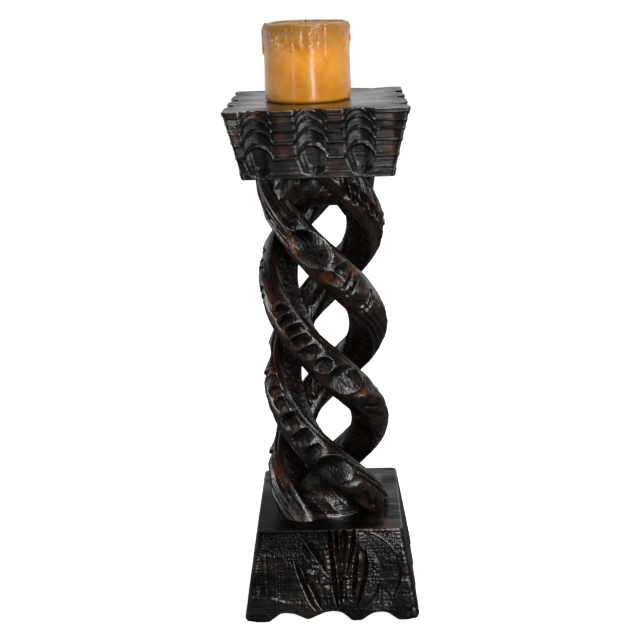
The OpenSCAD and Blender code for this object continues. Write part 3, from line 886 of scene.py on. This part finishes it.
def combine(keep, other, operation):
    """Unites a solid with another one, or keeps only what both share. The other is used up."""
    bpy.ops.object.select_all(action="DESELECT")
    bpy.context.view_layer.objects.active = keep
    keep.select_set(True)
    step = keep.modifiers.new("combine", "BOOLEAN")
    step.operation = operation
    step.solver = "MANIFOLD"
    step.object = other
    bpy.ops.object.modifier_apply(modifier=step.name)
    bpy.data.objects.remove(other)


twist_column = strand(0)
for other in (strand(1), strand(2), collar("foot_collar", column_low, core_tip_low, 71),
              collar("head_collar", column_high, core_tip_high, 72)):
    combine(twist_column, other, "UNION")
# sawn off level at both ends
bpy.ops.object.select_all(action="DESELECT")
bpy.ops.mesh.primitive_cube_add(size=1, location=(0, 0, (column_low + column_high) / 2 * MM))
saw_block = bpy.context.object
bpy.ops.object.mode_set(mode="EDIT")
bpy.ops.transform.resize(value=(0.2, 0.2, (column_high - column_low) * MM))
bpy.ops.object.mode_set(mode="OBJECT")
combine(twist_column, saw_block, "INTERSECT")
twist_column.name = twist_column.data.name = "twisted_column"
edit_all(bpy.ops.mesh.quads_convert_to_tris)
most_faces = 190000
thin = twist_column.modifiers.new("thin", "DECIMATE")
thin.ratio = min(1.0, most_faces / len(twist_column.data.polygons))
bpy.ops.object.modifier_apply(modifier=thin.name)
edit_all(bpy.ops.mesh.dissolve_degenerate, threshold=0.01 * MM)
edit_all(bpy.ops.mesh.remove_doubles, threshold=0.01 * MM)
mend(twist_column)
bpy.ops.object.shade_smooth_by_angle(angle=math.radians(60))
mark_wear_and_shade(twist_column, 4, 11)


# rubbed spots on the outside of the strands: strand, place along it, round it, reach, strength
mark_rubbed(twist_column, [(*strand_place(k, s, y / strand_r, strand_r), reach, strength)
                           for k, s, y, reach, strength in (
    (2, 362, -6, 10, 1.0), (2, 350, -12, 9, 0.9), (2, 376, -9, 9, 0.8), (2, 322, -8, 9, 0.95),
    (2, 313, -3, 9, 0.8), (2, 310, 14, 7, 1.0), (2, 292, 6, 8, 0.7), (2, 268, 4, 9, 0.6),
    (2, 400, -15, 8, 0.6), (1, 262, 0, 10, 1.0), (1, 275, 8, 9, 0.9), (1, 247, -2, 9, 0.9),
    (1, 232, -6, 8, 0.7), (1, 200, 6, 7, 0.6), (1, 168, 3, 8, 1.0), (1, 155, 1, 8, 0.6),
    (0, 152, 14, 8, 0.8), (0, 170, 16, 8, 0.8), (0, 185, 18, 8, 0.7), (0, 100, -6, 7, 0.5),
    (2, 38, 18, 9, 1.0), (2, 26, 21, 7, 0.8), (0, 400, -8, 9, 0.6), (0, 386, 0, 9, 0.6),
    (0, 24, -14, 9, 0.6), (0, 12, -18, 9, 0.7), (0, 300, 0, 9, 0.8), (0, 346, -10, 9, 0.8),
    (0, 250, 6, 9, 0.8), (0, 222, -4, 9, 0.8), (1, 95, 0, 9, 0.8), (1, 60, 12, 9, 0.8),
    (1, 350, -6, 9, 0.8), (1, 402, 4, 9, 0.8), (2, 210, 0, 9, 0.8), (2, 170, 6, 9, 0.8),
    (2, 120, -4, 9, 0.8), (2, 80, 8, 9, 0.8),
)])
column_wood = stained_wood("column_wood", (0, 0, 0), relief=0.13)
twist_column.data.materials.clear()
twist_column.data.materials.append(column_wood)
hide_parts("twist_column")
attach(twist_column, "candlestick")


# ---------------------------------------------------------------- capital
# A flared square block of the same wood, its grain from side to side, cut into five coves with
# sharp lips. Three upright flutes on each face lift the lips into arches. It is held down by a
# screw from the top, in a hole that the candle covers.
capital_low = box_mm("capital_block")[0][2]
capital_half, _, capital_high = box_mm("capital_block")[1]
capital_foot_half = 64.0
capital_corner = 3.5
screw_seat_r = 8.0
screw_seat_depth = 10.0
screw_hole_r = 4.2
capital_round = 0.8
lip_slope = 0.012  # the lips drop a little to one side across each face
lip_lines = [0, 4.5, 11.5, 18, 27.5, 40.5, 52.5, 58]
lip_lift = [0, 5.5, 10.2, 10.8, 10.8, 10.8, -3.5, 0]
cove_depth = [0, 2.7, 2.7, 3.1, 3.5, 3.4, 0.2]


def capital_carving(x, d, side):
    """How deep a face of the capital is cut, in mm, at a place across it and below its top."""
    d = d + lip_slope * x
    bump, fan = np.zeros(x.shape), np.zeros(x.shape)
    for middle, half_width in ((-49.2, 13.0), (-4.8, 13.4), (35.0, 12.6)):
        taper = half_width * (1.08 - 0.45 * ramp(d, 40, 58))
        from_middle = unit(np.abs(x - middle - 0.03 * (d - 20)) / taper)
        rounded = (1 - from_middle**2) ** (1 + 0.9 * ramp(d, 34, 46))
        rounded = rounded * ramp(1 - from_middle, 0, 0.3)
        bump = np.maximum(bump, rounded)
        fan = np.where(from_middle < 1, np.sin(30 * np.arctan2(x - middle, 66 - d)), fan)
    lines = [line - lift * bump + 0.35 * soft_noise(x + 300 * side, d * 0 + line, 14, 7)
             for line, lift in zip(lip_lines, lip_lift)]
    depth = np.zeros(x.shape)
    for k, cove in enumerate(cove_depth):
        tall = np.maximum(lines[k + 1] - lines[k], 0.5)
        u = (d - lines[k]) / tall
        inside = (u >= 0) & (u < 1)
        lip = unit((1 - u) / 0.26) ** 0.9
        hollow = (0.3 * np.sqrt(unit(1 - u * u)) + 0.7 * lip) * ramp(u, -0.02, 0.1)
        depth = np.where(inside, cove * hollow, depth)
    depth += 4.8 * bump * fall(d, 46, 57)
    scoop = bump * np.sin(unit((d - 29) / 27) * math.pi) ** 0.8
    depth += 1.4 * scoop
    # radiating cuts in each scoop, and fine tool marks all over
    depth += (0.3 * (1 + fan * np.clip(scoop * 1.5, 0.3, 1))
              + 0.14 * (1 + soft_noise(x + 170 * side, d, 6, 8)))
    near_corner = ramp(np.abs(x), 62, 73)
    return depth * (1 - 0.68 * near_corner) + 0.12 * pecks(x + 90 * side, d, 2.6, 81)


capital_stations = square_stations((172, 172, 172, 172), 7)
below = np.linspace(0, 1, 84)[::-1, None] * (capital_high - capital_low)
half = capital_half - (capital_half - capital_foot_half) * below / (capital_high - capital_low)
along = capital_stations[1] * (half - capital_corner)
rounding = capital_round - np.minimum(below, capital_high - capital_low - below)
rounded = capital_round - np.sqrt(capital_round**2 - rounding.clip(0) ** 2)
depth = rounded + np.where(
    capital_stations[2] == 0,
    capital_carving(along, below + 0 * along, capital_stations[0]),
    capital_carving(0 * along + 75.0, below + 0 * along, capital_stations[0]),
)
x, y = around_square(capital_stations, half, capital_corner, np.minimum(depth, 9.0))
capital = skin("capital", x, y, capital_high - below + 0 * x)
extrude_rim(capital, lambda co: co.z < capital_low + 0.1, [ring(screw_hole_r, capital_low)])
extrude_rim(
    capital, lambda co: co.z > capital_high - 0.1,
    [inset(0.988), inset(0.976), inset(0.964), inset(0.952), inset(0.7), ring(screw_seat_r),
     ring(screw_seat_r, rise=-screw_seat_depth), ring(screw_hole_r)],
)
close_and_turn_out(capital, join_rims=True)
mark_wear_and_shade(capital, 3, 6)
mark_rubbed(capital, [(x, y, z, 8.5, 0.72) for x, y, z in (
    (-28, -72, 458), (-28, -70, 444), (-28, -68, 431), (16, -73, 458), (16, -70, 432),
    (60, -71, 446), (60, -74, 459), (-66, -70, 446), (-49, -68, 460), (60, -68, 432),
    (14, -66, 418), (72, 20, 455), (70, -30, 444), (-72, 10, 457), (-70, -40, 442),
    (20, 72, 456), (-30, 70, 444))])
capital_wood = stained_wood("capital_wood", (0, math.pi / 2, 0), relief=0.16, haze=0.2)
capital.data.materials.append(capital_wood)
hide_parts("capital_block")
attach(capital, "candlestick")


# ---------------------------------------------------------------- candle
# A pillar candle of honey-coloured wax that has been lit: the top third is melted and run, with
# a shallow pool round the wick. It stands loose on the capital, a little left of the middle.
candle_low, candle_high = box_mm("candle_body")
candle_x, candle_y = (candle_low[:2] + candle_high[:2]) / 2
candle_r = (candle_high[0] - candle_low[0]) / 2
candle_tall = candle_high[2] - candle_low[2]


def drip(turn, z, at_turn, top, bottom, half_width, proud):
    """A run of wax: a rounded ridge down the side that ends in a bead."""
    side = (np.degrees(turn) - at_turn + 180) % 360 - 180
    across = np.radians(side) * candle_r / half_width
    body = unit(1 - across**2) ** 0.7 * ramp(z, bottom - 2, bottom + 1)
    bead = unit(1 - (across * 0.8) ** 2 - ((z - bottom - 2) / 3.2) ** 2) ** 0.5
    return proud * (body * ramp(-z, -top - 3, -top) + 0.9 * bead)


turn = np.linspace(0, 2 * math.pi, 289)[None, :]
side_z = np.concatenate([np.linspace(0, 3, 6), np.linspace(3.8, candle_tall - 5, 74)])
rim_turn = np.linspace(0, 0.75 * math.pi, 14)[1:]
rim_r = 3.4
wall_r = candle_r - 0.7
profile_r = np.concatenate([np.full(80, wall_r), wall_r - rim_r * (1 - np.cos(rim_turn)) * 0.9])
profile_z = np.concatenate([side_z, candle_tall - 5 + np.sin(rim_turn) * 4.6])
inward = np.linspace(1, 0.02, 26)[1:]
pool_r = profile_r[-1] * inward
pool_z = profile_z[-1] - 1.2 * (1 - inward**4) + 2.3 * np.exp(-((pool_r / 6.0) ** 2))
profile_r = np.concatenate([profile_r, pool_r])[:, None]
profile_z = np.concatenate([profile_z, pool_z])[:, None]
on_side = ramp(profile_r, candle_r - 9, candle_r - 3)
melted = ramp(profile_z, candle_tall * 0.55, candle_tall * 0.8)
arc = turn * candle_r
waist = 0.7 * np.sin(unit(profile_z / candle_tall) * math.pi) ** 2
foot = 2.2 * unit(1 - profile_z / 3) ** 2.2
lumps = 0.25 * soft_noise(arc, profile_z, 9, 91) + 0.2 * soft_noise(arc, profile_z, 3.5, 92)
radius = profile_r - on_side * (waist + foot - lumps * (0.25 + melted))
for at_turn, top, bottom, half_width, proud in (
    (-117, 58, 48, 2.0, 0.4), (-108, 58, 44, 1.6, 0.5), (-62, 60, 34, 1.3, 0.8),
    (-174, 58, 40, 3.4, 0.9), (-84, 60, 52, 3.4, 0.3), (-98, 57, 46, 2.4, 0.45),
    (-30, 58, 46, 2.0, 0.5), (-138, 60, 50, 3.0, 0.4), (-5, 60, 49, 2.4, 0.5),
    (-72, 58, 52, 2.0, 0.4), (32, 60, 38, 2.0, 0.7), (70, 60, 46, 3.0, 0.6),
    (103, 60, 33, 1.8, 0.8), (140, 60, 48, 3.0, 0.6),
):
    radius = radius + on_side * drip(turn, profile_z, at_turn, top, bottom, half_width, proud)
radius = np.minimum(radius, candle_r - 0.05)
top_lumps = (1 - on_side) * 0.3 * soft_noise(radius * np.cos(turn), radius * np.sin(turn), 5, 93)
rim_wave = melted * 0.7 * soft_noise(arc * 0.5, 0 * arc, 9, 94)
height = np.minimum(profile_z + (top_lumps + rim_wave) * melted, candle_tall - 0.05)
# the seam: the last column repeats the first
radius[:, -1], height[:, -1] = radius[:, 0], height[:, 0]
candle = skin("wax_candle", candle_x + radius * np.cos(turn), candle_y + radius * np.sin(turn),
              candle_low[2] + height)
cap_ends(candle)
close_and_turn_out(candle)
wax, tree, shader, spot = new_material("honey_wax")
height = add_node(tree, "SeparateXYZ", {"Vector": spot})["Z"]
cloud = add_node(tree, "TexNoise",
                 {"Vector": spot, "Scale": 55.0, "Detail": 4.0, "Distortion": 0.6})
grit = add_node(tree, "TexNoise", {"Vector": spot, "Scale": 480.0, "Detail": 3.0})
scuffs = add_node(tree, "TexNoise",
                  {"Vector": spot, "Scale": 150.0, "Detail": 6.0})["Fac"]
honey = color_steps(tree, cloud["Fac"],
                    [(0.30, (0.49, 0.165, 0.007)), (0.52, (0.585, 0.225, 0.013)),
                     (0.72, (0.68, 0.31, 0.038))])
# paler towards the foot, and brown with soot round the melted top
pale = add_node(tree, "MapRange",
                {"Value": height, "From Min": candle_low[2] * MM, "From Max": candle_high[2] * MM,
                 "To Min": 0.30, "To Max": 0.0})
tint = add_node(tree, "Mix",
                {"Factor": pale[0], 6: honey, 7: (0.70, 0.34, 0.03, 1.0)},
                data_type="RGBA")
ragged = add_node(tree, "Math", {0: scuffs, 1: 0.02, 2: height},
                  operation="MULTIPLY_ADD")
sooty = add_node(tree, "MapRange",
                 {"Value": ragged[0], "From Min": (candle_high[2] - 16) * MM,
                  "From Max": (candle_high[2] + 8) * MM, "To Max": 0.85})
tint = add_node(tree, "Mix",
                {"Factor": sooty[0], 6: tint[2], 7: (0.22, 0.112, 0.026, 1.0)},
                data_type="RGBA")
sheen = add_node(tree, "MapRange", {"Value": scuffs, "To Min": 0.16, "To Max": 0.42})
rough = add_node(tree, "Math", {0: grit["Fac"], 1: scuffs}, operation="ADD")
bump = add_node(tree, "Bump",
                {"Strength": 0.25, "Distance": 0.0008, "Height": rough[0]})
feed(tree, shader, {"Base Color": tint[2], "Roughness": sheen[0],
                    "Normal": bump[0], "Subsurface Weight": 0.5,
                    "Subsurface Radius": (1.0, 0.45, 0.12), "Subsurface Scale": 0.008,
                    "Coat Weight": 0.65, "Coat Roughness": 0.2, "Specular IOR Level": 0.12})
candle.data.materials.append(wax)
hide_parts("candle_body")
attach(candle, "candle")


# ---------------------------------------------------------------- wick
# A braided cotton wick, burnt short and black. It stands upright in the pool of wax, its foot in
# a narrow hole down the candle.
wick_low, wick_high = box_mm("candle_wick")
wick_x, wick_y = (wick_low[:2] + wick_high[:2]) / 2
wick_r = (wick_high[0] - wick_low[0]) / 2
strand_turn = np.linspace(0, 2 * math.pi, 37)[None, :]
up = np.linspace(0, 1, 60)[:, None]
braid = 0.82 + 0.12 * np.cos(3 * strand_turn + 16 * up) + 0.06 * np.cos(3 * strand_turn - 22 * up)
thin_end = 0.95 * np.sqrt(1 - up**8) + 0.05
across = wick_r * braid * thin_end
wick = skin("candle_wick_braid", wick_x + across * np.cos(strand_turn),
            wick_y + across * np.sin(strand_turn),
            wick_low[2] + 0.02 + up * (wick_high[2] - wick_low[2] - 0.04) + 0 * strand_turn)
cap_ends(wick)
close_and_turn_out(wick)
char, tree, shader, spot = new_material("charred_cotton")
threads = add_node(tree, "TexNoise",
                   {"Vector": spot, "Scale": 1800.0, "Detail": 3.0})["Fac"]
tint = color_steps(tree, threads, [(0.3, (0.010, 0.008, 0.006)), (0.7, (0.055, 0.045, 0.035))])
bump = add_node(tree, "Bump", {"Strength": 0.5, "Distance": 0.0003, "Height": threads})
feed(tree, shader, {"Base Color": tint, "Normal": bump[0], "Roughness": 0.85})
wick.data.materials.append(char)
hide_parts("candle_wick")
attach(wick, "candle")


# ---------------------------------------------------------------- update
bpy.context.view_layer.update()
